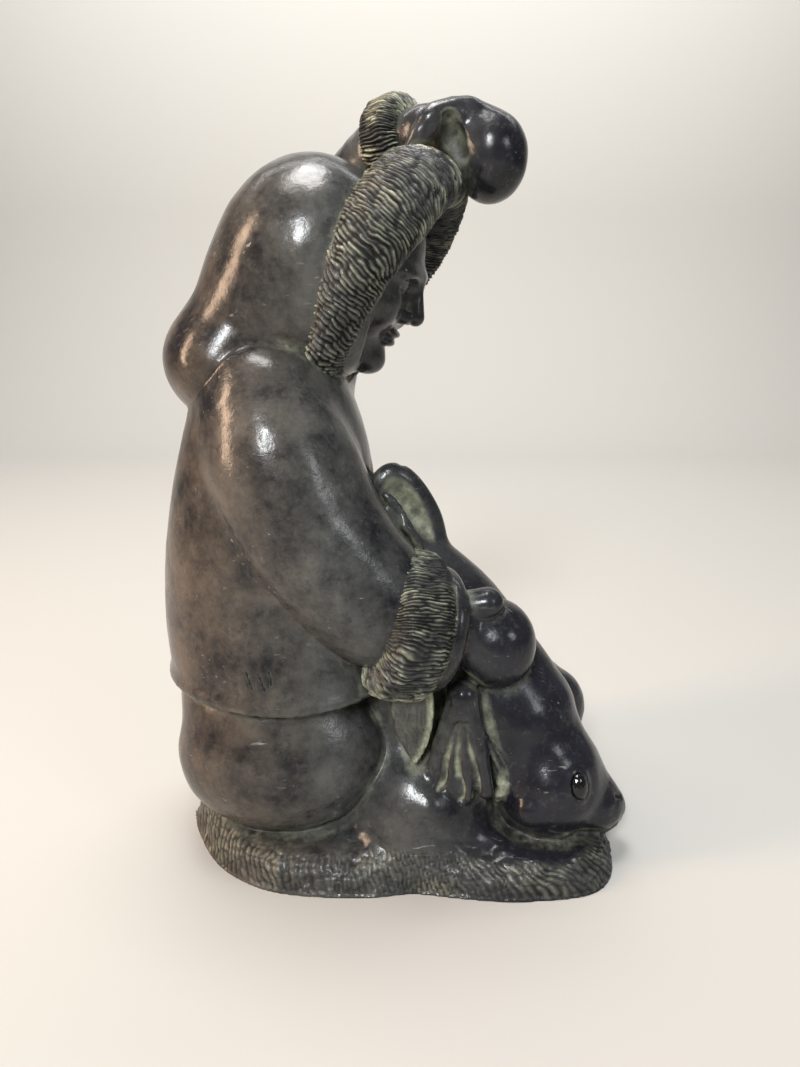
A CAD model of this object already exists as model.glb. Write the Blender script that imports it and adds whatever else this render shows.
# %% [markdown]
# A hunter kneels over a seal, one mitten on its back and the other arm raised behind the hood.
# The real thing is a single block of dark soapstone, a stone soft enough to cut with files and gouges.
# Only the seal's eyes are separate: two glossy black beads let into sockets.
# The block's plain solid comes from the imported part. This lesson carves the visible surface around it.

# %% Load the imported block
import math
import bpy
import numpy as np
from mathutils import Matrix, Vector


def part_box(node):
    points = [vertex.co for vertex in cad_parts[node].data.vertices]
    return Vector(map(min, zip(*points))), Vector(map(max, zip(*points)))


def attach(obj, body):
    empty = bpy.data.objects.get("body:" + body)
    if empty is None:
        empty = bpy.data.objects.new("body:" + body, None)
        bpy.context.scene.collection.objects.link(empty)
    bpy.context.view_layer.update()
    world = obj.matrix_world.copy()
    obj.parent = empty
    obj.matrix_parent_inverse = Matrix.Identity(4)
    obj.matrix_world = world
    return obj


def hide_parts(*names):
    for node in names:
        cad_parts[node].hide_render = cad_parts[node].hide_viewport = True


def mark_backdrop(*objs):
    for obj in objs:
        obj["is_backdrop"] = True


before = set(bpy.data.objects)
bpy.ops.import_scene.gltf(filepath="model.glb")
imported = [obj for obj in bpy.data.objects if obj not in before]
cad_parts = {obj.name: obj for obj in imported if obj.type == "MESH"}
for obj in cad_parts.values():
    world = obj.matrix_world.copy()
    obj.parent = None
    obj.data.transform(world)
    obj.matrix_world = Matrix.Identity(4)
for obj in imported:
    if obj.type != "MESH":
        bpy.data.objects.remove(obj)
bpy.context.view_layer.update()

# %% [markdown]
# The carving is drawn in millimetres around a point on the floor below the hunter's knee.
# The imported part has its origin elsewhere, under the middle of its outline.
# The seal's near eye is a known point in both, so the step between the two is read from it.

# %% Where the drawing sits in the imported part
MM = 0.001
EYE_NEAR = ((70.9, -41.0, 39.0), (0.42, -0.86, 0.28))
EYE_FAR = ((70.4, 3.2, 39.0), (0.46, 0.84, 0.28))
EYE_SIZE = (3.7, 5.2, 2.6)

eye_low, eye_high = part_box("seal_eye_near")
STEP = np.array((eye_low + eye_high) / 2) - np.array(EYE_NEAR[0]) * MM
STEP[2] = 0


def placed(points):
    """Points of the drawing, in millimetres, as metres in the part's own frame."""
    return np.asarray(points, float) * MM + STEP


print("drawing moved by, mm:", np.round(STEP / MM, 2))

# %% [markdown]
# The camera stands close, a little above the hunter's shoulder, and looks slightly down.
# That nearness matters: the base is seen from above while the raised mitten is seen from below.

# %% Camera
CAMERA_AT = (0, -312, 210)
CAMERA_TILT = 14.07
LENS = 25.98

camera = bpy.data.objects.new("camera", bpy.data.cameras.new("camera"))
camera.location = placed(CAMERA_AT)
camera.rotation_euler = (math.radians(90 - CAMERA_TILT), 0, 0)
camera.data.lens = LENS
camera.data.sensor_width = 36
camera.data.clip_start = 0.01
bpy.context.collection.objects.link(camera)
bpy.context.scene.camera = camera
print("camera", [round(v, 3) for v in camera.location])

# %% [markdown]
# Polished stone shows its shape by what it reflects, so the lights are large soft panels.
# One hangs overhead and a cool one stands in front like a window. A warm one stands on the left, and a
# weak one on the right near the camera. The widest hangs behind the carving and lights the backdrop.

# %% Floor, backdrop and lights


def plain(name, colour, rough):
    """A single quiet finish for things that aren't part of the object."""
    material = bpy.data.materials.new(name)
    material.use_nodes = True
    shader = material.node_tree.nodes["Principled BSDF"]
    shader.inputs["Base Color"].default_value = (*colour, 1)
    shader.inputs["Roughness"].default_value = rough
    return material


def sweep_floor(width, depth, rise, bend):
    """A studio floor that curves up into a backdrop."""
    profile = [(-depth, 0.0), (depth - bend, 0.0)]
    for turn in np.linspace(0.15, 1.57, 9):
        profile.append((depth - bend + bend * math.sin(turn), bend - bend * math.cos(turn)))
    profile += [(depth, rise)]
    vertices = [(x, y, z) for y, z in profile for x in (-width, width)]
    faces = [(2 * i, 2 * i + 1, 2 * i + 3, 2 * i + 2) for i in range(len(profile) - 1)]
    mesh = bpy.data.meshes.new("studio_floor")
    mesh.from_pydata(vertices, [], faces)
    for polygon in mesh.polygons:
        polygon.use_smooth = True
    floor = bpy.data.objects.new("studio_floor", mesh)
    bpy.context.collection.objects.link(floor)
    mesh.materials.append(plain("pale_paper", (0.43, 0.42, 0.395), 0.9))
    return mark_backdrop(floor)


def soft_panel(name, at, towards, size, power, colour):
    """A rectangular lamp at a place in metres, turned to face another."""
    lamp = bpy.data.lights.new(name, "AREA")
    lamp.shape = "RECTANGLE"
    lamp.size, lamp.size_y = size
    lamp.energy = power
    lamp.color = colour
    panel = bpy.data.objects.new(name, lamp)
    panel.location = at
    aim = Vector(towards) - Vector(at)
    panel.rotation_euler = aim.to_track_quat("-Z", "Y").to_euler()
    bpy.context.collection.objects.link(panel)


MIDDLE = (0, 0, 0.15)
sweep_floor(2.5, 1.6, 2.2, 0.5)
soft_panel("overhead", (-0.1, 0.05, 1.1), MIDDLE, (0.45, 0.35), 9.5, (1.0, 0.98, 0.96))
soft_panel("front_window", (-0.30, -1.15, 0.95), MIDDLE, (0.22, 0.45), 20, (0.95, 0.98, 1.0))
soft_panel("left_warm", (-1.0, -0.25, 0.55), MIDDLE, (0.18, 0.8), 11, (1.0, 0.70, 0.48))
soft_panel("right_front", (0.85, -0.8, 0.7), MIDDLE, (0.3, 0.3), 2.5, (0.96, 0.98, 1.0))
soft_panel("backdrop_lamp", (0, 0.75, 1.5), (0, 1.7, 0.7), (2.2, 0.5), 34, (1.0, 0.99, 0.975))

world = bpy.data.worlds.new("studio")
bpy.context.scene.world = world
world.use_nodes = True
world.node_tree.nodes["Background"].inputs[0].default_value = (0.95, 0.96, 1.0, 1)
world.node_tree.nodes["Background"].inputs[1].default_value = 0.15
bpy.context.scene.view_settings.view_transform = "Standard"
print("lights ready")

# %% [markdown]
# A carver thinks in volumes that run into each other. Here each volume is a distance rule:
# a function that says, for any point, how far it is outside (plus) or inside (minus) the form.
# Two rules are joined by taking the smaller distance, and rounding the corner where they are equal.
# It is the computer's version of filing a fillet, and it never leaves a seam.

# %% Volumes and how they join
F = np.float32


def vec(*values):
    return np.array(values, F)


def axes_along(out, up=(0, 0, 1)):
    """Three unit directions around 'out': to its left, up, and along it."""
    w = np.array(out, float)
    w /= np.linalg.norm(w)
    u = np.cross(up, w)
    u /= np.linalg.norm(u)
    return np.array((u, np.cross(w, u), w), F)


def local(P, centre, axes):
    return (P - vec(*centre)) @ axes.T


def egg(P, centre, radii, axes=None):
    q = P - vec(*centre) if axes is None else local(P, centre, axes)
    a = q / vec(*radii)
    b = a / vec(*radii)
    k = np.sqrt((a * a).sum(1)) + F(1e-6)
    return k * (k - 1) / (np.sqrt((b * b).sum(1)) + F(1e-9))


def oval(u, v, a, b):
    k = np.sqrt((u / a) ** 2 + (v / b) ** 2) + F(1e-5)
    g = np.sqrt((u / a**2) ** 2 + (v / b**2) ** 2) + F(1e-6)
    return (k - 1) * k / g


def join(a, b, k):
    h = np.maximum(1 - np.abs(a - b) / F(k), 0)
    return np.minimum(a, b) - h * h * F(k / 4)


def keep(a, b, k):
    return -join(-a, -b, k)


def cut(a, b, k):
    return -join(-a, b, k)


def through(rows, s, column=1):
    """A smooth curve through rows of (station, value)."""
    xs = np.array([row[0] for row in rows], float)
    ys = np.array([row[column] for row in rows], float)
    gaps, slopes = np.diff(xs), np.diff(ys) / np.diff(xs)
    inner = (slopes[1:] * gaps[:-1] + slopes[:-1] * gaps[1:]) / (gaps[1:] + gaps[:-1])
    lean = np.r_[slopes[0], inner, slopes[-1]]
    s = np.clip(s, xs[0], xs[-1])
    i = np.clip(np.searchsorted(xs, s) - 1, 0, len(xs) - 2)
    h = gaps[i]
    t = (s - xs[i]) / h
    t2, t3 = t * t, t * t * t
    value = (2 * t3 - 3 * t2 + 1) * ys[i] + (t3 - 2 * t2 + t) * h * lean[i]
    return (value + (3 * t2 - 2 * t3) * ys[i + 1] + (t3 - t2) * h * lean[i + 1]).astype(F)


def tapered(P, a, b):
    start, along = vec(*a[:3]), vec(*b[:3]) - vec(*a[:3])
    q = P - start
    t = np.clip((q @ along) / (along @ along), 0, 1)
    q = q - t[:, None] * along
    return np.sqrt((q * q).sum(1)) - (a[3] + (b[3] - a[3]) * t).astype(F)


def limb(P, stations, k=1.0):
    d = tapered(P, stations[0], stations[1])
    for a, b in zip(stations[1:-1], stations[2:]):
        d = join(d, tapered(P, a, b), k)
    return d


def eased(stations, steps=4):
    """A limb's stations drawn out into a smooth curve."""
    rows = [[(i, s[c]) for i, s in enumerate(stations)] for c in range(4)]
    at = np.arange((len(stations) - 1) * steps + 1) / steps
    return [tuple(map(float, row)) for row in np.stack([through(r, at) for r in rows], 1)]


CLOSE_BY = 9


def nearby(P, centre, reach, form):
    """Work a small form out only close to where it is; elsewhere a safe distance will do."""
    q = P - vec(*centre)
    d = np.sqrt((q * q).sum(1)) - reach
    close = d < CLOSE_BY
    if close.any():
        d[close] = form(P[close])
    return d


print("a ball of 10 mm, seen from 15 mm:", egg(np.array([[15, 0, 0]], F), (0, 0, 0), (10, 10, 10)))

# %% [markdown]
# The base is a low uneven slab, wide at both ends and narrow at the waist, as the found block was.
# Its outline is a smooth curve through a few radii, given by bearing around the middle.
# Three worn humps rise from it and carry the legs and the seal.

# %% Base and mound
BASE_THICK = 13
BASE_RADII = [(-180, 94), (-166, 88), (-152, 83), (-138, 76), (-118, 64), (-100, 57.5), (-84, 55), (-66, 63),
              (-48, 79), (-33, 95), (-18, 94), (0, 88), (25, 84), (50, 74), (75, 62), (95, 59), (120, 64),
              (145, 78), (165, 88), (180, 94)]
BASE_LEAN = 0.35
MOUND = [((8, -6, 22), (36, 42, 32)), ((2, -2, 60), (26, 26, 40)), ((-38, 2, 20), (48, 32, 24))]
RIDGE = [(12, -41, 30, 5), (32, -38, 13.5, 5), (50.5, -49.5, 5.5, 6)]


def base_outside(P):
    """Distance out from the base's rim, measured level."""
    bearing = np.degrees(np.arctan2(P[:, 1], P[:, 0]))
    return np.hypot(P[:, 0], P[:, 1]) - through(BASE_RADII, bearing)


def base(P):
    x, y, z = P.T
    side = (base_outside(P) + np.clip(z, 0, 16) * F(BASE_LEAN)) * F(0.9)
    top = z - (BASE_THICK + 1.5 * np.sin(x * 0.09) * np.cos(y * 0.11) - 0.02 * x)
    return keep(side, top.astype(F), 8)


def mound(P):
    d = join(egg(P, *MOUND[0]), egg(P, *MOUND[1]), 10)
    return join(d, egg(P, *MOUND[2]), 8)


def ground(P):
    return join(join(base(P), mound(P), 14), limb(P, eased(RIDGE)), 5)


print("base rim at the seal's nose, mm:", BASE_RADII[11][1])

# %% [markdown]
# The hunter kneels, so under the parka there are only two big rounded thighs.
# The parka is a bell: an oval that changes width on the way up, cut off at the hem.
# The near sleeve hangs forward from the shoulder. The far one goes up past the hood.

# %% Legs, parka and sleeves
THIGHS = [((-48, -22, 45), (43, 29, 33.5)), ((-50, 25, 44), (43, 31, 35)), ((-60, 0, 40), (34, 34, 32)),
          ((-52, 0, 66), (42, 44, 26))]
PARKA = [(68, -95, 2, 50), (76, -96, 1, 51), (95, -98, -3, 48), (120, -97, -7, 45), (150, -92.5, -10, 43),
         (175, -86, -14, 42), (192, -81, -20, 40), (206, -76, -27, 34), (216, -70, -34, 24)]
HEM = 75
SHOULDER_TOP = 212
NEAR_SLEEVE = eased([(-50, -20, 182, 25), (-44, -25, 164, 28.5), (-35, -28, 143, 28), (-22, -30, 125, 26.5),
                     (-8, -31, 111, 24)])
FAR_SLEEVE = eased([(-46, 24, 182, 25), (-38, 44, 215, 21), (-32, 52, 245, 18), (-22, 42, 268, 15),
                    (-8, 24, 282, 13)])

NEAR_SLEEVE_BALL = ((-28, -28, 147), 72)
FAR_SLEEVE_BALL = ((-28, 36, 232), 76)


def legs(P):
    d = join(egg(P, *THIGHS[0]), egg(P, *THIGHS[1]), 16)
    d = join(d, egg(P, *THIGHS[2]), 12)
    return join(d, egg(P, *THIGHS[3]), 8)


def hem_height(P):
    return HEM + 2.0 * np.sin(P[:, 0] * 0.05) + 0.03 * (P[:, 0] + 50)


def parka(P):
    x, y, z = P.T
    back, front, half = (through(PARKA, z, column) for column in (1, 2, 3))
    above_hem = z - hem_height(P).astype(F)
    flare = 1.6 * np.exp(-((above_hem - 1.5) / 3.5) ** 2)
    d = oval(x - (back + front) / 2, y, (front - back) / 2, half) - flare
    d = keep(d, -above_hem, 2)
    return keep(d, z - SHOULDER_TOP, 14)


def clothes(P):
    d = join(parka(P), nearby(P, *NEAR_SLEEVE_BALL, lambda N: limb(N, NEAR_SLEEVE)), 2.5)
    return join(d, nearby(P, *FAR_SLEEVE_BALL, lambda N: limb(N, FAR_SLEEVE)), 8)


print("hem height under the near sleeve, mm:", hem_height(np.array([[-20, -45, 0]])).round(1))

# %% [markdown]
# The seal leans on the hunter's knees with its head on the base and its hind flippers in the lap.
# Its neck is one fat tapering limb. The muzzle, jaw, cheek pad and brow are smaller eggs pressed into it.

# %% Seal
SEAL_BODY = eased([(2, 4, 130, 9), (11, 4, 115, 15), (21, 3, 98, 21.5), (34, -2, 77, 24.5),
                   (49, -10, 55, 26)])
SEAL_HEAD = ((61.5, -19, 31), (24, 26, 26))
MUZZLE = [(73, -19, 26, 15.5), (82, -22, 21, 11), (87, -23, 18, 8)]
JAW = [(70, -18, 17, 12), (84, -21, 12, 7)]
CHEEK_PAD = ((52.5, -40.3, 27), (6.5, 4.6, 6.5))
LIP_PAD = ((82, -30, 20), (7.5, 5.5, 6.5))
EYE_HOLLOW = ((2.5, -1.0, 3.4), (10.5, 9.5, 4.8))
FAR_FLIPPER = eased([(46, 7, 75, 12), (64, 13, 58.5, 11), (73, 18, 47, 12.5), (70, 18, 33, 12),
                     (60, 20, 17, 10)])
FAR_SIDE = ((55, 10, 38), (14, 15, 28))
HIND_AT = (5, 2, 137)
HIND_AXES = axes_along((0.22, -0.97, -0.05), (-0.42, 0, 0.9))
FORE_WRIST = (25, -33, 74)
FORE_BALL = ((23, -36, 55), 34)
FORE_TIPS = [(13, -36, 40), (19.5, -38, 36), (26.5, -39, 34), (34, -39, 36)]
HIND_RIDGE = eased([(-6, -9, 150, 1.3), (-3, -9.5, 147.5, 1.6), (1, -10, 142, 1.6), (2, -11.5, 138, 1.8),
                    (5, -11.5, 134.5, 1.6), (8, -10.5, 128, 1.4)], 2)
FLIPPER_EDGE = [(22, -36.5, 71, 2.0), (26, -37.5, 62, 2.4), (31, -37.5, 52, 2.2), (34, -37, 44, 2)]
HIND_NOTCH = [(0.8, -9, 164, 1.2), (0.8, 4, 161, 1.2)]
SIDE_FOLD = eased([(24, -37.5, 76.5, 1.0), (27, -38, 68.5, 1.2), (31, -37.5, 62.5, 1.4), (36, -35, 53, 1.5),
                   (40.5, -34.5, 44, 1.9), (42, -34, 37, 2.5), (40.5, -34, 30.5, 2.6)], 2)


def seal_head(P):
    d = egg(P, *SEAL_HEAD)
    d = join(d, limb(P, MUZZLE, 5), 6)
    d = join(d, limb(P, JAW, 4), 4)
    d = join(d, egg(P, *CHEEK_PAD), 2.5)
    d = join(d, egg(P, *LIP_PAD), 5)
    for (centre, out), side in ((EYE_NEAR, 1), (EYE_FAR, -1)):
        axes = axes_along(out)
        at, radii = EYE_HOLLOW
        d = cut(d, egg(local(P, centre, axes), (at[0] * side, at[1], at[2]), radii), 4)
        rim = egg(P, np.array(centre) - np.array(out) * 1.4, np.array(EYE_SIZE) + (1.9, 1.9, 0.1), axes)
        d = join(d, rim, 2.5)
        d = cut(d, egg(P, centre, np.array(EYE_SIZE) + 0.3, axes), 0.3)
    return d


def hind_flippers(P):
    q = local(P, HIND_AT, HIND_AXES)
    d = egg(q, (0, 0, 0), (12.5, 26, 6))
    d = join(d, egg(q, (-3, 12, 0), (11, 13, 5)), 5)
    d = cut(d, egg(q, (-1.5, 3, 9), (9.5, 22, 7)), 2)
    d = cut(join(d, limb(P, HIND_RIDGE), 1.2), limb(P, HIND_NOTCH), 1.5)
    behind = egg(local(P, (2, -6, 128), HIND_AXES), (0, 0, 0), (7, 20, 4.5))
    return join(d, behind, 1)


def fore_flipper(P):
    wrist = np.array(FORE_WRIST, float)
    d = None
    for tip in FORE_TIPS:
        knuckle = wrist + (np.array(tip) - wrist) * 0.6
        finger = limb(P, [(*wrist, 6), (*knuckle, 4.9), (*tip, 3.4)])
        d = finger if d is None else join(d, finger, 1.2)
    return d


def seal(P):
    d = join(limb(P, SEAL_BODY), seal_head(P), 8)
    d = join(d, hind_flippers(P), 3)
    d = join(d, join(egg(P, *FAR_SIDE), limb(P, FAR_FLIPPER), 4), 5)
    d = join(d, limb(P, SIDE_FOLD), 1.6)
    d = join(d, limb(P, FLIPPER_EDGE), 1.2)
    return join(d, nearby(P, *FORE_BALL, fore_flipper), 1)


print("seal, nose to hind flippers, mm:", round(float(np.linalg.norm(np.array((87, -23, 18)) - HIND_AT))))

# %% [markdown]
# Both sleeves end in a fur cuff, and then a mitten: a short wrist, a ball for the fist and a thumb.
# The near mitten has a plain raised rim where it comes out of the fur.
# The raised mitten once held something, so a hollow is gouged between its thumb and palm.
# The cuffs are left slightly thin here, because the fur is carved as its own layer over them.

# %% Cuffs and mittens
FUR_BED = 1.9
NEAR_CUFF = dict(at=(1, -31, 103.5), axes=axes_along((0.928, 0.296, -0.238)), ring=20.5, fur=9.5, half=12.5)
FAR_CUFF = dict(at=(-1, 18, 285), axes=axes_along((0.8, -0.58, 0.1)), ring=9.5, fur=8.5, half=9.5)
MITTEN_RIM = dict(ahead=13.5, ring=19.5, thick=5.5, half=4.8)
NEAR_WRIST = [(8, -30, 105, 18.5), (26, -26, 99, 13.5)]
NEAR_FIST = ((38, -25, 93), (16, 17, 18))
NEAR_THUMB = [(22, -30, 109.5, 6.5), (33.5, -31.5, 112, 6.4)]
FAR_WRIST = [(0, 15, 285, 10), (10, 8, 285, 10.5), (23, 2, 285.5, 11.5)]
FAR_FIST = ((34, 0, 276), (13.5, 15.5, 16))
FAR_GRIP = [(18, -12, 286, 3.4), (18.5, -10, 280.5, 5), (20.5, -9.5, 275, 4.8)]
FAR_THUMB = eased([(24, -3, 289, 7), (15, -7, 288, 5), (10, -9, 285.5, 4.2), (3.6, -9.5, 277, 2.6)], 2)
SQUASH = 0.8
NEAR_HAND_BALL = ((20, -29, 100), 56)
FAR_HAND_BALL = ((15, 8, 283), 42)


def band(q, ring, fur, half):
    """A squat round band about its own axis, with well rounded corners."""
    out = np.hypot(q[:, 0], q[:, 1]) - ring
    end = np.abs(q[:, 2]) - (half - fur * SQUASH)
    corner = np.hypot(np.maximum(out, 0), np.maximum(end, 0) / SQUASH)
    return corner + np.minimum(np.maximum(out, end), 0) - fur


def cuff(P, spec, sunk=FUR_BED):
    q = local(P, spec["at"], spec["axes"])
    return band(q, spec["ring"], spec["fur"] - sunk, spec["half"] - sunk)


def near_mitten(P):
    d = limb(P, NEAR_WRIST, 3)
    q = local(P, NEAR_CUFF["at"], NEAR_CUFF["axes"])
    out = np.hypot(q[:, 0], q[:, 1]) - MITTEN_RIM["ring"]
    rim = oval(out, q[:, 2] - MITTEN_RIM["ahead"], MITTEN_RIM["thick"], MITTEN_RIM["half"])
    d = join(d, rim, 1)
    d = join(d, egg(P, *NEAR_FIST), 3)
    return join(d, limb(P, NEAR_THUMB, 2), 1.4)


def far_mitten(P):
    d = join(limb(P, FAR_WRIST, 3), egg(P, *FAR_FIST), 7)
    d = join(d, limb(P, FAR_THUMB, 2), 1.5)
    return cut(d, limb(P, FAR_GRIP, 2), 0.6)


def hands(P):
    d = nearby(P, *NEAR_HAND_BALL, lambda N: join(cuff(N, NEAR_CUFF), near_mitten(N), 0.8))
    raised = nearby(P, *FAR_HAND_BALL, lambda N: join(cuff(N, FAR_CUFF), far_mitten(N), 0.8))
    return join(d, raised, 0.8)


print("near cuff across, mm:", 2 * (NEAR_CUFF["ring"] + NEAR_CUFF["fur"]))

# %% [markdown]
# The hood is a dome with a soft lobe that falls on the shoulders, and a thick fur edge round the face.
# That edge is a ring around the opening: narrow under the chin and wide over the brow.
# The face is kept calm and general, on the usual proportions:
# eyes half way up the head, the nose ends half way from there to the chin, the mouth a third further.

# %% Hood and face
HEAD_AT = (-9.5, 0, 232)
BOW, TURN = math.radians(26), math.radians(11)
HEAD_OUT = (math.cos(BOW) * math.cos(TURN), -math.cos(BOW) * math.sin(TURN), -math.sin(BOW))
HEAD_AXES = axes_along(HEAD_OUT)
FACE_AT = (-7.3, -0.4, 230.9)
OPENING = dict(across=32, spread=4.5, tall=41, fur=10.5, lean=2.5)
FUR_HALF = [(-1, 8), (-0.5, 9.5), (0, 12), (0.5, 15), (1, 15.5)]
HOOD_DOME = ((-33, 3, 236), (36, 38, 42))
HOOD_SLOPE = ((-56, 3, 224), (22, 30, 44), axes_along((-0.49, 0, -0.87), (0, 1, 0)))
HOOD_LOBE = ((-67, 2, 200.5), (26, 34, 22.5), axes_along((0.35, 0, 0.93), (0, 1, 0)))
FACE_BED = ((0, 0, 16), (24, 33, 16))
EYE_LINE, NOSE_TIP, MOUTH_LINE, CHIN_LINE = 2.0, -7.0, -15.5, -27.0
EYE_APART = 9.2


def fur_edge(P, sunk=FUR_BED):
    u, v, w = local(P, HEAD_AT, HEAD_AXES).T
    s = np.clip(v / OPENING["tall"], -1.3, 1.3)
    out = oval(u, v, OPENING["across"] + OPENING["spread"] * s, OPENING["tall"])
    half = through(FUR_HALF, s)
    return oval(out, w - OPENING["lean"] * s, OPENING["fur"] - sunk, half - F(sunk)) * F(0.95)


def face(P):
    q = local(P, FACE_AT, HEAD_AXES)
    d = egg(q, (0, 0, -6), (25, 34, 19))
    d = join(d, egg(q, (0, CHIN_LINE, 6), (9, 7, 8)), 6)
    d = join(d, egg(q, (0, EYE_LINE + 6.5, 10), (17, 3.2, 4.5)), 5)
    d = join(d, limb(q, [(0, EYE_LINE + 5, 12, 2.4), (0, NOSE_TIP + 2, 17.5, 3.6)], 2), 3)
    for side in (-1, 1):
        d = join(d, egg(q, (side * 4, NOSE_TIP, 14), (3, 2.6, 3)), 1.6)
        d = join(d, egg(q, (side * 12.5, NOSE_TIP + 1, 6.5), (8, 8, 6.5)), 5)
        d = cut(d, egg(q, (side * EYE_APART, EYE_LINE + 1.2, 14.5), (5.5, 3.6, 3.5)), 3)
        d = join(d, egg(q, (side * EYE_APART, EYE_LINE + 1, 9.2), (5, 3, 3)), 1)
        lid = [(side * (EYE_APART - 5), EYE_LINE + 0.4, 11.6, 0.45),
               (side * EYE_APART, EYE_LINE + 0.6, 12.6, 0.5),
               (side * (EYE_APART + 5), EYE_LINE + 0.6, 10.4, 0.45)]
        d = cut(d, limb(q, eased(lid)), 0.8)
    d = join(d, egg(q, (0, MOUTH_LINE + 1.2, 12), (7, 1.8, 3)), 1.2)
    return join(d, egg(q, (0, MOUTH_LINE - 2.4, 11.5), (5.8, 2, 3)), 1.2)


def hood(P):
    d = join(egg(P, *HOOD_DOME), egg(P, *HOOD_SLOPE), 14)
    d = join(d, egg(P, *HOOD_LOBE), 10)
    d = join(d, fur_edge(P), 1)
    d = cut(d, egg(local(P, HEAD_AT, HEAD_AXES), *FACE_BED), 2)
    return join(d, nearby(P, HEAD_AT, 46, face), 1)


print("face, brow to chin, mm:", EYE_LINE + 8 - CHIN_LINE)

# %% [markdown]
# A pointed tail of the parka hangs in front of the near knee. In the side view it is the lens where
# two circles cross, so that is how it is made, a few millimetres thick.

# %% Front tail of the parka, and the whole block
TAIL_CIRCLES = [(-23.5, 69, 37), (44, 76, 48)]
TAIL_AT, TAIL_HALF = -34, 6.5
SEAL_BALL = ((42, -8, 76), 92)
HOOD_BALL = ((-38, 2, 232), 82)


def tail(P):
    x, y, z = P.T
    rings = [np.hypot(x - cx, z - cz) - r for cx, cz, r in TAIL_CIRCLES]
    return keep(keep(*rings, 1), np.abs(y - TAIL_AT) - TAIL_HALF, 3)


def block(P):
    """The whole sculpture as one solid."""
    d = join(ground(P), legs(P), 1.5)
    d = join(d, tail(P), 1)
    d = join(d, nearby(P, *SEAL_BALL, seal), 2)
    d = join(d, clothes(P), 0.8)
    d = join(d, nearby(P, *HOOD_BALL, hood), 1.2)
    d = join(d, hands(P), 0.8)
    return np.maximum(d, -P[:, 2]).astype(F)


print("block measured inside the chest, mm:", block(np.array([[-50, 0, 150]], F)))

# %% [markdown]
# Now the rule has to become a surface. The space around the block is divided into small cubes.
# Wherever a cube has corners both in and out of the stone, it gets one vertex, and neighbours share faces.
# Only cubes close to the surface are worked out finely, which keeps this to seconds.
# Each vertex is then slid along the slope of the rule until it sits exactly on the stone.

# %% From a rule to a surface
LOW, HIGH = np.array((-101, -70, -3)), np.array((100, 73, 312))
COARSE = 4.8
FAR_OFF = 9
FINENESS = 6
CELL = COARSE / FINENESS


def in_slices(form, P, size=150000):
    """Work a rule out in slices, so that memory stays small."""
    return np.concatenate([form(P[i:i + size]) for i in range(0, len(P), size)])


def sample_space(form):
    """Distances at every lattice point near the surface. Elsewhere only in or out is known."""
    blocks = np.ceil((HIGH - LOW) / COARSE).astype(int)
    index = np.stack(np.meshgrid(*map(np.arange, blocks), indexing="ij"), -1).reshape(-1, 3)
    middle = (LOW + (index + 0.5) * COARSE).astype(F)
    rough = in_slices(form, middle).reshape(blocks)
    values = np.repeat(np.repeat(np.repeat(np.sign(rough) * FAR_OFF, FINENESS, 0), FINENESS, 1), FINENESS, 2)
    values = np.pad(values, ((0, 1),) * 3, constant_values=FAR_OFF).astype(F)
    near = index[np.abs(rough.ravel()) < COARSE * 1.05]
    steps = np.arange(FINENESS + 1)
    inner = np.stack(np.meshgrid(steps, steps, steps, indexing="ij"), -1).reshape(-1, 3)
    for i in range(0, len(near), 3000):
        at = (near[i:i + 3000, None] * FINENESS + inner[None]).reshape(-1, 3)
        values[tuple(at.T)] = form((LOW + at * CELL).astype(F))
    return values


def untangle(inside):
    """Fill the odd corner where two lumps of stone would touch only along an edge."""
    for _ in range(4):
        changed = 0
        for a, b in ((0, 1), (0, 2), (1, 2)):
            view = np.moveaxis(inside, (a, b), (0, 1))
            p, q, r, s = view[:-1, :-1], view[1:, 1:], view[1:, :-1], view[:-1, 1:]
            bad = (p == q) & (r == s) & (p != r)
            changed += int(bad.sum())
            view[:-1, :-1][bad] = True
            view[1:, 1:][bad] = True
            view[1:, :-1][bad] = True
            view[:-1, 1:][bad] = True
        if not changed:
            break
    return inside


def skin(values):
    """One vertex in each mixed cube, one face across each edge that leaves the stone."""
    inside = untangle(values < 0)
    size = np.array(inside.shape)
    mixed = np.zeros(size - 1, bool)
    total = np.zeros(size - 1, F)
    centre = np.zeros((*(size - 1), 3), F)
    quads = []
    for axis in range(3):
        ahead = [slice(None)] * 3
        behind = [slice(None)] * 3
        ahead[axis], behind[axis] = slice(1, None), slice(None, -1)
        a, b = inside[tuple(behind)], inside[tuple(ahead)]
        at = np.argwhere(a != b)
        va, vb = values[tuple(behind)][tuple(at.T)], values[tuple(ahead)][tuple(at.T)]
        t = np.where(np.sign(va) == np.sign(vb), 0.5, va / (va - vb + 1e-12)).clip(0.05, 0.95)
        point = at.astype(F)
        point[:, axis] += t
        others = [i for i in range(3) if i != axis]
        corners = []
        for du, dv in ((0, 0), (1, 0), (1, 1), (0, 1)):
            cell = at.copy()
            cell[:, others[0]] -= du
            cell[:, others[1]] -= dv
            corners.append(cell)
            np.add.at(total, tuple(cell.T), 1)
            np.add.at(centre, tuple(cell.T), point)
            mixed[tuple(cell.T)] = True
        ids = [np.ravel_multi_index(tuple(c.T), mixed.shape) for c in corners]
        quad = np.stack(ids, 1)
        leaves = a[tuple(at.T)]
        if axis == 1:
            leaves = ~leaves
        quads.append(np.where(leaves[:, None], quad, quad[:, ::-1]))
    number = np.cumsum(mixed.ravel()) - 1
    P = centre[mixed] / total[mixed][:, None]
    return (LOW + P * CELL).astype(F), number[np.concatenate(quads)]


TETRA = np.array(((1, 1, 1), (1, -1, -1), (-1, 1, -1), (-1, -1, 1)), F)


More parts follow.
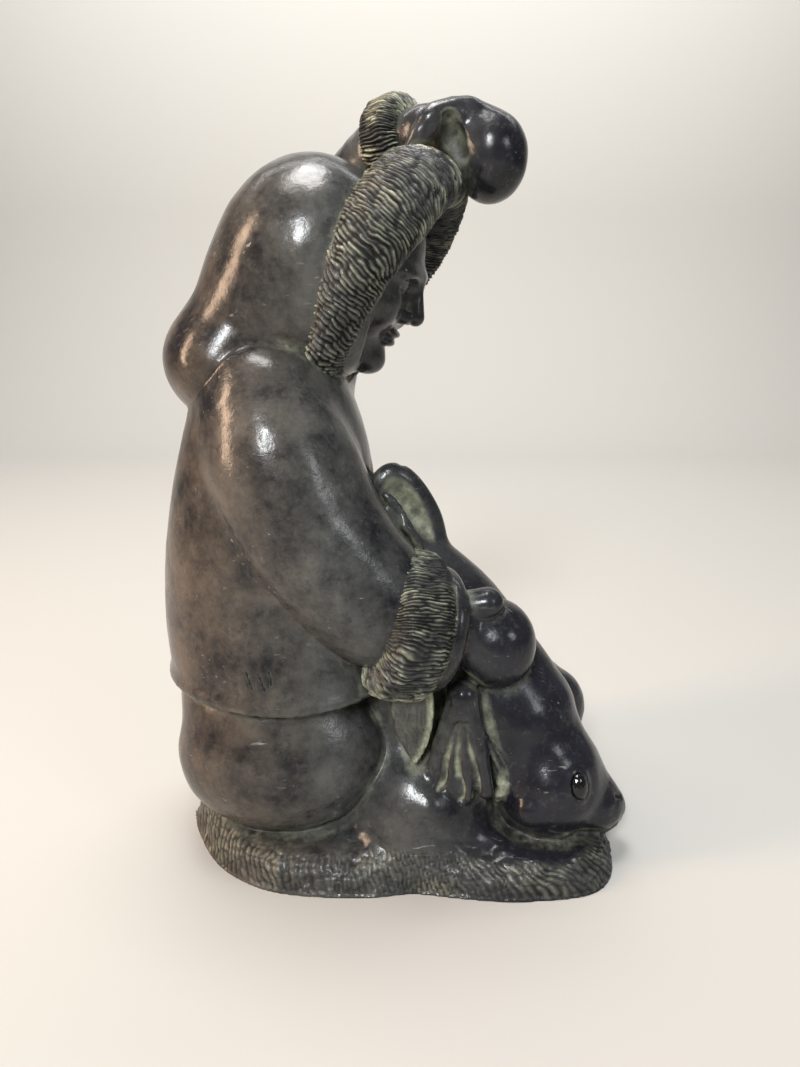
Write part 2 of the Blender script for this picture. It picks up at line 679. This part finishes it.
def slope(form, P, reach=0.15):
    """The direction in which a rule grows fastest, and how fast."""
    around = (P[:, None] + TETRA[None] * F(reach)).reshape(-1, 3)
    d = in_slices(form, around).reshape(-1, 4)
    return d @ TETRA / F(4 * reach), d.mean(1)


def settle(form, P, rounds=2):
    for _ in range(rounds):
        g, d = slope(form, P)
        square = np.maximum((g * g).sum(1), 0.2)
        P = P - g * np.clip(d / square, -CELL * 0.6, CELL * 0.6)[:, None]
    return P


P, Q = skin(sample_space(block))
P = settle(block, P)
print(len(P), "vertices and", len(Q), "faces, cell", CELL, "mm")

# %% [markdown]
# Hand carving is never even. These helpers make soft random values that are the same on every run.
# They also make rows of hair strokes: parallel grooves of the gouge, cut in short overlapping runs.

# %% Chance and hair strokes
CORNERS = [(i, j, k) for i in (0, 1) for j in (0, 1) for k in (0, 1)]


def scramble(number):
    """A whole number turned into a repeatable random value from 0 to 1."""
    number = (np.asarray(number, np.int64) * 1274126177) & 0x7FFFFFFF
    number = ((number ^ (number >> 13)) * 1103515245 + 12345) & 0x7FFFFFFF
    number = ((number ^ (number >> 11)) * 1274126177) & 0x7FFFFFFF
    return (number / 0x7FFFFFFF).astype(F)


def noise(P, size, seed=0):
    """Soft random values from -1 to 1 that change over about 'size' millimetres."""
    q = np.asarray(P, F) / F(size) + F(100)
    cell = np.floor(q).astype(np.int64)
    f = (q - cell).astype(F)
    f = f * f * (3 - 2 * f)
    total = np.zeros(len(q), F)
    for corner in CORNERS:
        key = (cell + corner) @ np.array((73856093, 19349663, 83492791)) + seed * 7919
        weight = np.where(np.array(corner, bool), f, 1 - f).prod(1)
        total += weight * (scramble(key) * 2 - 1)
    return total


def ease(value, start, end):
    """0 before start, 1 after end, and a soft change between them."""
    t = np.clip((value - start) / (end - start), 0, 1)
    return t * t * (3 - 2 * t)


def strokes(column, along, row_length, count, seed=0):
    """Height from 0 to 1 of hair strokes. 'column' counts strokes across, 'along' is in millimetres."""
    which = np.floor(column).astype(np.int64) % count
    side = column - np.floor(column)
    place = along / row_length + scramble(which * 31 + seed) * 7
    row = np.floor(place).astype(np.int64)
    end = place - row
    luck = scramble(which * 977 + row * 131 + seed)
    edge = (which + (side > 0.5)) % count
    edge_place = along / (row_length * 0.8) + scramble(edge * 57 + seed) * 5
    edge_depth = 0.55 + 0.45 * scramble(edge * 613 + np.floor(edge_place).astype(np.int64) * 89 + seed)
    ridge = 1 - np.abs(2 * side - 1) ** 1.5 * edge_depth
    nick = ease(end, 0, 0.12) * ease(1 - end, 0, 0.2)
    return (ridge * (0.66 + 0.34 * luck) * (0.5 + 0.5 * nick)).astype(F)


print("noise of one point:", noise(np.zeros((1, 3)), 5))

# %% [markdown]
# The relief is cut into the surface just found, a fraction of a millimetre deep, as the gouge would.
# The maker roughened the base's edge, the hem and the hidden hollows, and left them unpolished.
# Lines such as the seal's mouth are scored along a path laid on the stone.

# %% Carved relief
SEAL_MIRROR = (np.array((61.5, -19, 0)), np.array((0.155, 0.988, 0)))
BASE_STROKES, BASE_STROKE_DEPTH, BASE_ROW = 180, 0.9, 5.5


def mirrored(line):
    """The same line on the far side of the seal's head."""
    centre, across = SEAL_MIRROR
    P = np.array(line, float)
    return P - 2 * ((P - centre) @ across)[:, None] * across


def laid(line, steps=6):
    """A path of points, smoothed and slid onto the stone."""
    P = np.array(eased([(*p, 1) for p in line], steps))[:, :3].astype(F)
    return settle(block, P, 4)


def score(P, line, width):
    """1 on a path and 0 a little way off it."""
    d = np.full(len(P), 99, F)
    box_low, box_high = line.min(0) - 3 * width, line.max(0) + 3 * width
    near = ((P > box_low) & (P < box_high)).all(1)
    if near.any():
        d[near] = limb(P[near], [(*p, 0) for p in line], 0.01)
    return np.exp(-((d / width) ** 2))


SEAL_MOUTH = [(60, -43, 20.5), (66, -41, 17.5), (73, -37.5, 15.5), (80, -32.5, 13.5), (86, -28.5, 13),
              (92, -22, 13.5)]
NOSTRIL = [(89.5, -28.5, 26.5), (91.5, -27, 25)]
FLIPPER_CUTS = [[(21.5, -39.5, 64), (20, -39.5, 58), (18, -39.5, 48), (17, -40, 41), (15, -41, 37.5)],
                [(23, -40.5, 65), (22.5, -40.5, 57), (22.5, -40.5, 50), (23, -40.5, 44), (25, -41.5, 38.5),
                 (24, -42, 33)],
                [(26, -40.5, 65), (27, -41, 57), (28.5, -41, 51), (30, -41, 46), (31, -41, 40),
                 (30, -41, 34)]]
HEM_CUTS = [[(-57, -48, 91), (-55, -50, 84.5)], [(-52.5, -49, 90.5), (-50, -50.5, 84)],
            [(-48.5, -49, 91.5), (-47.5, -49.5, 86)]]
PAIRED_CUTS = [(SEAL_MOUTH, 0.9, 1.3), (NOSTRIL, 0.9, 1.0)]
DUSTY_WIDTH = 1.2
FEELER = 5
FACE_ZONE = ((0, 0, 4), (25, 35, 20))
SINGLE_CUTS = [(line, 1.25, 1.9) for line in FLIPPER_CUTS] + [(line, 0.5, 0.6) for line in HEM_CUTS]
TAIL_STROKE, TAIL_ROW = 1.9, 15


def base_marks(P):
    outside = base_outside(P)
    bearing = np.arctan2(P[:, 1], P[:, 0])
    on_edge = ease(outside, -12, -6) * ease(-P[:, 2], -19, -13) * ease(P[:, 2], 0.3, 1.5)
    climb = P[:, 2] - np.minimum(outside, 0) * 0.8
    column = bearing / (2 * math.pi) * BASE_STROKES + 0.12 * climb
    column = column + 0.7 * noise(P, 9, 3) + 0.4 * noise(P, 3.5, 21)
    return on_edge, strokes(column, climb + 100 + 3 * noise(P, 7, 22), BASE_ROW, BASE_STROKES, 5)


def hollowness(P, N):
    """How enclosed each point is: 0 on open stone, more where stone stands in front of it."""
    return 1 - block(P + N * FEELER) / FEELER


def relief(P, N):
    """How far the surface moves out (millimetres), and how unpolished, dusty and dark with dirt it is."""
    hollow = hollowness(P, N)
    on_face = ease(-egg(local(P, FACE_AT, HEAD_AXES), *FACE_ZONE), -3, 0)
    on_flipper = ease(-nearby(P, *FORE_BALL, fore_flipper), -1, 0)
    crease = ease(hollow, 0.28, 0.75) * (1 - 0.8 * on_face) * (1 - 0.7 * on_flipper)
    lift = 0.30 * noise(P, 13, 1) + 0.11 * noise(P, 5, 2)
    matt, dust = 0.9 * crease, 0.28 * crease * ease(noise(P, 7, 9), -0.3, 0.6) * ease(P[:, 2], 15, 60)
    groove = 0.5 * crease * ease(noise(P, 5, 18), -0.2, 0.5)

    on_edge, height = base_marks(P)
    lift -= on_edge * BASE_STROKE_DEPTH * (1 - height)
    on_slab = ease(-P[:, 2], -24, -14)
    lift += on_slab * (0.55 * noise(P, 6, 16) + 0.32 * noise(P, 2.8, 17))
    matt = np.maximum(matt, on_edge * (0.1 + 0.3 * height))
    groove = np.maximum(groove, on_edge * (1 - height) * 0.8)
    dust = np.maximum(dust, on_edge * height**2 * 0.28 * ease(noise(P, 14, 8), -0.3, 0.6))

    above_hem = P[:, 2] - hem_height(P)
    on_hem = np.exp(-((above_hem + 0.5) / 2.2) ** 2) * ease(-P[:, 0], 8, 14)
    lift += on_hem * 0.45 * noise(P, 1.9, 7)
    matt = np.maximum(matt, on_hem * 0.8)

    tail_depth = np.abs(tail(P))
    on_tail = ease(-tail_depth, -0.8, -0.3) * ease(-P[:, 1], 36, 38)
    column = (P[:, 0] + 0.12 * P[:, 2]) / TAIL_STROKE + 50 + 0.7 * noise(P, 5, 4)
    height = strokes(column, P[:, 2], TAIL_ROW, 999, 6)
    lift -= on_tail * 0.45 * (1 - height)
    right_edge = on_tail * ease(np.hypot(P[:, 0] - TAIL_CIRCLES[0][0], P[:, 2] - TAIL_CIRCLES[0][1]), 33, 36)
    matt = np.maximum(matt * (1 - 0.6 * on_tail), on_tail * 0.3)
    groove = np.maximum(groove, on_tail * (1 - height) * 0.5)
    dust = np.maximum(dust, np.maximum(on_tail * 0.08 * height, right_edge * 0.8))

    q = local(P, HIND_AT, HIND_AXES)
    web = ease(1 - np.hypot((q[:, 0] + 1.5) / 9.5, (q[:, 1] - 3) / 22), 0.05, 0.25) * ease(q[:, 2], -1, 1)
    web = web * ease(-q[:, 2], -9, -6) * ease(limb(P, HIND_RIDGE), 0.6, 1.4)
    lift += web * (0.45 * noise(P, 3.2, 12) + 0.25 * noise(P, 1.7, 13))
    matt, dust = np.maximum(matt, web * 0.95), np.maximum(dust, web * (0.34 + 0.25 * noise(P, 3.2, 12)))

    grip = ease(-limb(P, FAR_GRIP), -0.9, -0.2)
    lift += grip * 0.35 * noise(P, 2.0, 14)
    matt, dust = np.maximum(matt, grip * 0.9), np.maximum(dust, grip * (0.12 + 0.25 * noise(P, 3, 19)))

    fold = ease(-limb(P, SIDE_FOLD), -0.9, 0.1) * ease(P[:, 2], 24, 30)
    rough_end = fold * ease(-P[:, 2], -46, -38)
    lift += rough_end * 0.8 * noise(P, 2.3, 15)
    matt = np.maximum(matt, rough_end * 0.8)
    dust = np.maximum(dust, rough_end * (0.3 + 0.5 * noise(P, 2.3, 15)))

    cuts = SINGLE_CUTS + PAIRED_CUTS
    cuts += [(mirrored(line), width, depth) for line, width, depth in PAIRED_CUTS]
    for line, width, depth in cuts:
        mark = score(P, laid(line), width)
        lift -= mark * depth
        matt = np.maximum(matt, mark**2)
        if width > DUSTY_WIDTH:
            dust = np.maximum(dust, mark**3 * ease(-P[:, 2], -60, -50) * (0.5 + 0.3 * noise(P, 3, 20)))
        else:
            groove = np.maximum(groove, mark)
    fade = ease(P[:, 2], 0.1, 1.0)
    return [values.astype(F) for values in (lift * fade, matt, dust, groove)]


def directions(form, P):
    g, _ = slope(form, P)
    return g / (np.linalg.norm(g, axis=1)[:, None] + 1e-9)


N = directions(block, P)
lift = relief(P, N)[0]
CARVED = P + N * lift[:, None]
print("deepest cut, mm:", round(float(-lift.min()), 2))

# %% [markdown]
# The lattice gives far more little faces than the shape needs. Thinning keeps the small ones where the
# stone turns sharply, such as the face and the creases, and merges them on the broad polished parts.

# %% The carved block as a mesh
MOST_FACES = 190000


def outer_shell(P, Q):
    """Drop any small pocket closed inside the stone."""
    label = np.arange(len(P))
    while True:
        lowest = label[Q].min(1)
        before = label.copy()
        np.minimum.at(label, Q.ravel(), np.repeat(lowest, Q.shape[1]))
        label = label[label]
        if (label == before).all():
            break
    names, sizes = np.unique(label, return_counts=True)
    keep_it = label == names[sizes.argmax()]
    number = np.cumsum(keep_it) - 1
    return P[keep_it], number[Q[keep_it[Q[:, 0]]]]


def new_piece(name, P, faces):
    """A mesh object from points of the drawing."""
    mesh = bpy.data.meshes.new(name)
    mesh.from_pydata(placed(P), [], faces)
    mesh.update()
    piece = bpy.data.objects.new(name, mesh)
    bpy.context.collection.objects.link(piece)
    return piece


def thinned(piece, most):
    """Merge faces until at most that many triangles are left."""
    count = sum(len(polygon.vertices) - 2 for polygon in piece.data.polygons)
    modifier = piece.modifiers.new("thin", "DECIMATE")
    modifier.ratio = min(1, most / count)
    modifier.use_collapse_triangulate = True
    graph = bpy.context.evaluated_depsgraph_get()
    mesh = bpy.data.meshes.new_from_object(piece.evaluated_get(graph))
    piece.modifiers.clear()
    piece.data = mesh
    return piece


def points_of(piece):
    """A piece's points, back in millimetres of the drawing."""
    P = np.empty((len(piece.data.vertices), 3), F)
    piece.data.vertices.foreach_get("co", P.ravel())
    return ((P - STEP) / MM).astype(F)


def write_values(piece, name, values):
    layer = piece.data.attributes.new(name, "FLOAT", "POINT")
    layer.data.foreach_set("value", np.ascontiguousarray(values, F))


body = thinned(new_piece("carved_stone", *outer_shell(CARVED, Q)), MOST_FACES)
body.data.polygons.foreach_set("use_smooth", np.ones(len(body.data.polygons), bool))
P = settle(block, points_of(body), 6)
for name, values in zip(("matt", "dust", "groove"), relief(P, directions(block, P))[1:]):
    write_values(body, name, values)
print("carved block:", len(body.data.polygons), "triangles")

# %% [markdown]
# The fur is the liveliest carving on the piece: hundreds of short curved gouge cuts across each band.
# A regular skin couldn't hold grooves this fine, so each band gets its own layer, a closed ring.
# Its rows of points follow the cuts, six points to a stroke, and the band underneath is slightly thinner.

# %% Fur edges of the hood and cuffs
FUR_DEPTH = 1.9
CLOSER_ABOVE = 0.25
POINTS_PER_STROKE = 6
ROUND_STEP = 0.9
CUFF_ROW, CUFF_LEAN = 10, 0.02
HOOD_ROW, HOOD_LEAN = 9.5, -0.16


def ring_start(turn, roll, centre, axes, path, thick, wide):
    """Points of a plain ring. 'turn' goes round the ring and 'roll' round its section."""
    u, v = path(turn)
    du, dv = np.cos(turn), np.sin(turn)
    out = thick * np.cos(roll)
    q = np.stack((u + du * out, v + dv * out, wide(turn) * np.sin(roll)), 1).astype(F)
    return q @ axes + vec(*centre)


def closed_grid(rows, columns):
    """Faces of a grid that joins up both ways, like a ring."""
    i, j = np.meshgrid(np.arange(rows), np.arange(columns), indexing="ij")
    corner = [((i + a) % rows) * columns + (j + b) % columns for a, b in ((0, 0), (1, 0), (1, 1), (0, 1))]
    return np.stack([c.ravel() for c in corner], 1)


def fur_ring(name, form, start, count, around, row_length, lean, seed, pale, only=None):
    """A ring of carved fur: 'count' strokes go round it, and 'around' is its section's outline, in mm."""
    rows = count * POINTS_PER_STROKE
    columns = int(around / ROUND_STEP)
    turn, roll = np.meshgrid(np.arange(rows) / rows, np.arange(columns) / columns, indexing="ij")
    turn, roll = turn.ravel(), roll.ravel()
    P = start(turn * 2 * math.pi, roll * 2 * math.pi)
    shown = np.ones(len(P), bool) if only is None else only(roll * 2 * math.pi)
    P[shown] = settle(form, P[shown], 3)
    N = np.zeros_like(P)
    N[shown] = directions(form, P[shown])
    swing = (0.5 - np.abs(roll - 0.5)) * around
    along = np.where(roll < 0.5, swing, -swing)
    flow = noise(P, 12, seed) * 1.3 + noise(P, 5, seed + 1) * 0.6 + noise(P, 2.4, seed + 5) * 0.28
    packed = turn - CLOSER_ABOVE / (2 * math.pi) * np.cos(turn * 2 * math.pi)
    column = packed * count + lean * along + flow
    drift = noise(P, 9, seed + 2) * 2.5
    height = strokes(column, along + drift + 200, row_length, count, seed)
    height = height - 0.12 * np.abs(noise(P, 1.3, seed + 3))
    P = P - N * ((1 - height) * FUR_DEPTH * shown)[:, None]
    piece = new_piece(name, P, closed_grid(rows, columns))
    piece.data.polygons.foreach_set("use_smooth", np.ones(len(piece.data.polygons), bool))
    write_values(piece, "groove", np.clip(1 - height, 0, 1))
    crease = ease(hollowness(P, N), 0.15, 0.6)
    crest = np.clip(height, 0, 1) ** 2.2 * ease(noise(P, 3.5, seed + 6) + noise(P, 8, seed + 7), -0.5, 0.5)
    write_values(piece, "matt", 0.25 + 0.5 * crease)
    write_values(piece, "dust", crest * (pale(P) + 0.25 * noise(P, 9, seed + 4) + 0.5 * crease))
    print(name, len(piece.data.polygons) * 2, "triangles")
    return piece


def hood_path(turn):
    s = np.sin(turn)
    return (OPENING["across"] + OPENING["spread"] * s) * np.cos(turn), OPENING["tall"] * s


def hood_start(turn, roll):
    P = ring_start(turn, roll, HEAD_AT, HEAD_AXES, hood_path, OPENING["fur"],
                   lambda t: through(FUR_HALF, np.sin(t)))
    return P + (OPENING["lean"] * np.sin(turn)).astype(F)[:, None] * HEAD_AXES[2]


def cuff_fur(name, spec, count, seed, pale):
    def path(turn):
        return spec["ring"] * np.cos(turn), spec["ring"] * np.sin(turn)

    def start(turn, roll):
        return ring_start(turn, roll, spec["at"], spec["axes"], path, spec["fur"], lambda t: spec["half"])

    def facing_out(roll):
        return np.cos(roll) > -0.25

    around = 2 * (spec["fur"] + spec["half"]) * 1.6
    return fur_ring(name, lambda P: cuff(P, spec, 0), start, count, around, CUFF_ROW, CUFF_LEAN, seed,
                    lambda P: pale, facing_out)


def paler_above(P):
    return 0.36 + 0.3 * ease(P[:, 2], 215, 262)


hood_fur = fur_ring("hood_fur", lambda P: fur_edge(P, 0), hood_start, 160, 82, HOOD_ROW, HOOD_LEAN, 11,
                    paler_above)
near_cuff_fur = cuff_fur("near_cuff_fur", NEAR_CUFF, 116, 21, 0.75)
far_cuff_fur = cuff_fur("far_cuff_fur", FAR_CUFF, 84, 31, 1.0)

# %% [markdown]
# Soapstone polishes to a dark, faintly violet grey that shines like wax. Where no polish reached,
# it stays a dull olive. Pale dust sits on the crests of the fur and black dirt in its grooves, and old
# handling leaves fine scratches and small pale specks. One recipe makes all of this, and the amounts
# carved into each piece steer it.

# %% Stone finish


def link(tree, a, b):
    tree.links.new(a, b)


def node(tree, kind, **values):
    made = tree.nodes.new(kind)
    for key, value in values.items():
        if hasattr(made, key):
            setattr(made, key, value)
        else:
            made.inputs[key.replace("_", " ")].default_value = value
    return made


def ramp(tree, source, stops):
    """A value turned into a colour or a new value by stops of (place, shade)."""
    made = tree.nodes.new("ShaderNodeValToRGB")
    elements = made.color_ramp.elements
    for i, (place, shade) in enumerate(stops):
        element = elements[i] if i < 2 else elements.new(place)
        element.position = place
        element.color = (*shade, 1) if isinstance(shade, tuple) else (shade, shade, shade, 1)
    link(tree, source, made.inputs[0])
    return made.outputs["Color"]


def blend(tree, amount, a, b):
    made = tree.nodes.new("ShaderNodeMix")
    made.data_type = "RGBA"
    made.blend_type = "MIX"
    for value, socket in ((amount, made.inputs["Factor"]), (a, made.inputs["A"]), (b, made.inputs["B"])):
        if isinstance(value, bpy.types.NodeSocket):
            link(tree, value, socket)
        else:
            socket.default_value = value if not isinstance(value, tuple) else (*value, 1)
    return made.outputs["Result"]


def sums(tree, kind, a, b, soft=False):
    made = tree.nodes.new("ShaderNodeMath")
    made.operation = kind
    made.use_clamp = soft
    for value, socket in ((a, made.inputs[0]), (b, made.inputs[1])):
        if isinstance(value, bpy.types.NodeSocket):
            link(tree, value, socket)
        else:
            socket.default_value = value
    return made.outputs[0]


DARK_STONE = (0.007, 0.007, 0.009)
BACK_STONE = (0.084, 0.062, 0.045)
ARM_STONE = (0.082, 0.083, 0.077)
SEAL_STONE = (0.015, 0.015, 0.021)
PALE_GRAIN = (0.12, 0.12, 0.113)
DULL_STONE = (0.030, 0.031, 0.027)
OLIVE_STONE = (0.115, 0.118, 0.092)
SCRATCH_GREY = (0.30, 0.30, 0.27)
DUSTY_BLACK = (0.003, 0.003, 0.003)
STONE_DUST = (0.60, 0.62, 0.43)


def stone_finish():
    material = bpy.data.materials.new("carved_soapstone")
    material.use_nodes = True
    tree = material.node_tree
    shader = tree.nodes["Principled BSDF"]
    place = node(tree, "ShaderNodeTexCoord").outputs["Object"]
    shader.inputs["Specular IOR Level"].default_value = 0.34

    def speckle(size_mm, detail=4.0, rough=0.55, stretch=None):
        source = place
        if stretch:
            mapping = tree.nodes.new("ShaderNodeMapping")
            mapping.inputs["Rotation"].default_value = stretch[0]
            mapping.inputs["Scale"].default_value = stretch[1]
            link(tree, place, mapping.inputs["Vector"])
            source = mapping.outputs["Vector"]
        made = node(tree, "ShaderNodeTexNoise", Scale=1 / (size_mm * MM), Detail=detail, Roughness=rough)
        link(tree, source, made.inputs["Vector"])
        return made.outputs["Fac"]

    matt = node(tree, "ShaderNodeAttribute", attribute_name="matt").outputs["Fac"]
    groove = node(tree, "ShaderNodeAttribute", attribute_name="groove").outputs["Fac"]
    dust = node(tree, "ShaderNodeAttribute", attribute_name="dust").outputs["Fac"]

    clouds = ramp(tree, speckle(22, 10, 0.70), [(0.36, 0.06), (0.61, 1.0)])
    apart = tree.nodes.new("ShaderNodeSeparateXYZ")
    link(tree, place, apart.inputs[0])
    forward = sums(tree, "ADD", sums(tree, "MULTIPLY", apart.outputs["X"], 6.0), 0.55)
    tinted = ramp(tree, forward, [(0.08, BACK_STONE), (0.42, ARM_STONE), (0.82, SEAL_STONE)])
    polished = blend(tree, clouds, DARK_STONE, tinted)
    grain = ramp(tree, speckle(3.2, 6, 0.75), [(0.54, 0.0), (0.78, 1.0)])
    polished = blend(tree, sums(tree, "MULTIPLY", grain, 0.45), polished, PALE_GRAIN)

    scratches = [speckle(1.1, 2, 0.5, ((0.3, 0.5, angle), (0.06, 1.0, 0.5))) for angle in (0.6, 2.1, 3.7)]
    marks = [ramp(tree, s, [(0.70, 0.0), (0.76, 1.0)]) for s in scratches]
    scratched = sums(tree, "ADD", sums(tree, "ADD", marks[0], marks[1]), marks[2], True)
    where = ramp(tree, speckle(18, 2), [(0.50, 0.0), (0.66, 1.0)])
    scratched = sums(tree, "MULTIPLY", scratched, where)
    polished = blend(tree, sums(tree, "MULTIPLY", scratched, 0.5), polished, SCRATCH_GREY)

    pits = ramp(tree, speckle(9, 9, 0.75), [(0.30, 1.0), (0.44, 0.0)])
    polished = blend(tree, sums(tree, "MULTIPLY", pits, 0.75), polished, DARK_STONE)
    patches = ramp(tree, speckle(4.5, 6, 0.7), [(0.36, 0.0), (0.62, 1.0)])
    dull = sums(tree, "MULTIPLY", matt, sums(tree, "ADD", sums(tree, "MULTIPLY", patches, 0.7), 0.35), True)
    olive = blend(tree, patches, DULL_STONE, OLIVE_STONE)
    surface = blend(tree, dull, polished, olive)
    broken = ramp(tree, speckle(2.2, 5, 0.7), [(0.35, 0.35), (0.65, 1.0)])
    surface = blend(tree, sums(tree, "MULTIPLY", dust, broken, True), surface, STONE_DUST)
    deep = ramp(tree, groove, [(0.22, 0.0), (0.72, 1.0)])
    surface = blend(tree, sums(tree, "MULTIPLY", deep, 0.95), surface, DUSTY_BLACK)
    link(tree, surface, shader.inputs["Base Color"])

    shine = sums(tree, "ADD", 0.09, sums(tree, "MULTIPLY", speckle(7, 5, 0.65), 0.27))
    shine = sums(tree, "ADD", shine, sums(tree, "MULTIPLY", dull, 0.34))
    shine = sums(tree, "ADD", shine, sums(tree, "MULTIPLY", deep, 0.4))
    shine = sums(tree, "ADD", shine, sums(tree, "MULTIPLY", scratched, 0.2), True)
    link(tree, shine, shader.inputs["Roughness"])

    roughened = sums(tree, "ADD", sums(tree, "MULTIPLY", dull, 0.9), 0.10)
    fine = sums(tree, "MULTIPLY", speckle(1.4, 6, 0.7), roughened)
    fine = sums(tree, "ADD", fine, sums(tree, "MULTIPLY", scratched, -0.25))
    soft = sums(tree, "MULTIPLY", speckle(8, 4, 0.6), 1.7)
    bump = node(tree, "ShaderNodeBump", Strength=0.5, Distance=0.35 * MM)
    link(tree, sums(tree, "ADD", fine, soft), bump.inputs["Height"])
    link(tree, bump.outputs["Normal"], shader.inputs["Normal"])
    return material


def eye_finish():
    """Black inlay, polished like glass, with a few faint smears."""
    material = bpy.data.materials.new("black_inlay")
    material.use_nodes = True
    tree = material.node_tree
    shader = tree.nodes["Principled BSDF"]
    place = node(tree, "ShaderNodeTexCoord").outputs["Object"]
    smear = node(tree, "ShaderNodeTexNoise", Scale=900.0, Detail=3.0)
    link(tree, place, smear.inputs["Vector"])
    link(tree, ramp(tree, smear.outputs["Fac"], [(0.4, (0.003, 0.003, 0.004)), (0.8, (0.012, 0.012, 0.014))]),
         shader.inputs["Base Color"])
    link(tree, ramp(tree, smear.outputs["Fac"], [(0.4, 0.05), (0.8, 0.16)]), shader.inputs["Roughness"])
    return material


stone = stone_finish()
inlay = eye_finish()
carving = [body, hood_fur, near_cuff_fur, far_cuff_fur]
for piece in carving:
    piece.data.materials.clear()
    piece.data.materials.append(stone)
for name in ("seal_eye_near", "seal_eye_far"):
    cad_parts[name].material_slots[0].material = inlay
print("finishes:", stone.name, inlay.name)

# %% [markdown]
# Every visible piece of stone is carved from the one block, so they all stand in for that node of the
# frame and move with it. The two eye beads stay as the frame has them and only take a better finish.
# Only the near bead shows: stone from the far flipper lies over the other one.

# %% Tie the pieces to the frame
for piece in carving:
    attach(piece, "root")
    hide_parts("stone_carving")
